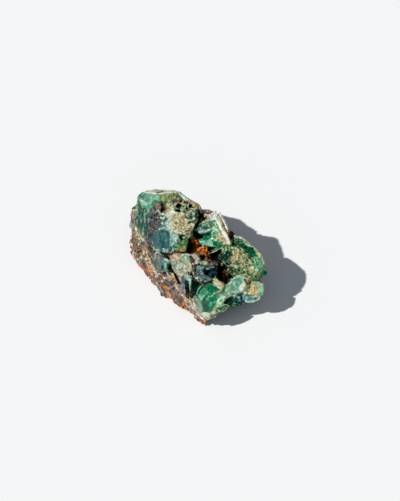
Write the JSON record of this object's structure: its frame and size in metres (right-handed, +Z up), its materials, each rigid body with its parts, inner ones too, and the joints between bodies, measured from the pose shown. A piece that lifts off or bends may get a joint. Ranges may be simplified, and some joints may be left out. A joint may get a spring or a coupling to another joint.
{
  "type": "fluorite specimen",
  "caption": "Rough green fluorite crystals grown together on rusty matrix, a hand specimen lying on the flat break under its matrix.",
  "frame": {"origin": "middle of the bounding box, on the surface that the specimen lies on", "axes": "+X along the longest side, towards the overhanging right lobe; +Y towards the back; +Z up"},
  "size_m": [0.066, 0.0376, 0.0224],
  "materials": {
    "matrix": "rough, iron stained",
    "fluorite": "glassy on the crystal faces, sugary on the crust"
  },
  "bodies": {
    "root": {"matrix": "matrix", "fluorite": "fluorite"}
  },
  "joints": []
}
